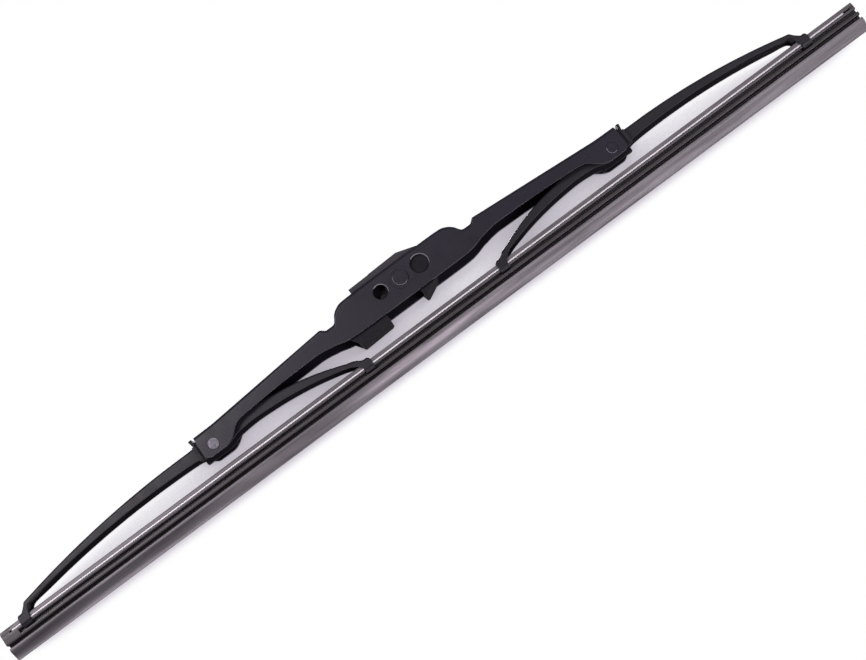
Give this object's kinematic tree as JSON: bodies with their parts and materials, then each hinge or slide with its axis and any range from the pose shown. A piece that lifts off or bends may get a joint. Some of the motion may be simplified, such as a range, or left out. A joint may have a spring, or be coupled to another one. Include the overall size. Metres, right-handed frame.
{
  "type": "wiper blade",
  "caption": "Framed windscreen wiper blade: a stamped bridge with rocking yokes, a hook clip on the centre rivet, and a rubber squeegee stiffened by steel strips.",
  "frame": {"origin": "middle of the centre rivet's axis, on the blade's mid-plane, where the arm's hook seats on the clip's nose", "axes": "+X along the blade towards its open end, +Z from the wiping lip up to the bridge, +Y across the blade away from the pictured side"},
  "size_m": [0.375, 0.0144, 0.0363],
  "materials": {
    "bridge_paint": "satin black paint with a faint violet cast",
    "yoke_paint": "satin black paint",
    "rivet_paint": "painted over with the bridge, satin",
    "worn_rivet": "steel showing through worn paint",
    "liner_plastic": "moulded black plastic, fine grain",
    "clip_plastic": "moulded black plastic, fine grain",
    "graphite_rubber": "grey-black rubber with a dusty graphite bloom",
    "spring_steel": "bright rolled strip"
  },
  "bodies": {
    "frame": {"bridge": "bridge_paint", "centre_rivet": "rivet_paint", "left_pivot_rivet": "worn_rivet", "right_pivot_rivet": "rivet_paint", "rubber_squeegee": "graphite_rubber", "near_spring_strip": "spring_steel", "far_spring_strip": "spring_steel"},
    "left_rocker": {"left_yoke": "yoke_paint", "left_pivot_liner": "liner_plastic"},
    "right_rocker": {"right_yoke": "yoke_paint", "right_pivot_liner": "liner_plastic"},
    "clip": {"hook_clip": "clip_plastic"}
  },
  "joints": [
    {"name": "left_yoke_rock", "type": "hinge", "parent": "frame", "child": "left_rocker", "pos_m": [-0.0875, 0, -0.00815], "axis": [0, 1, 0], "range_deg": [-3, 3], "stiffness_Nm_per_rad": 1, "deforming": ["rubber_squeegee", "near_spring_strip", "far_spring_strip"]},
    {"name": "right_yoke_rock", "type": "hinge", "parent": "frame", "child": "right_rocker", "pos_m": [0.0875, 0, -0.00815], "axis": [0, 1, 0], "range_deg": [-3, 3], "stiffness_Nm_per_rad": 1, "deforming": ["rubber_squeegee", "near_spring_strip", "far_spring_strip"]},
    {"name": "clip_tilt", "type": "hinge", "parent": "frame", "child": "clip", "pos_m": [0, 0, 0], "axis": [0, 1, 0], "range_deg": [-2, 8]}
  ]
}
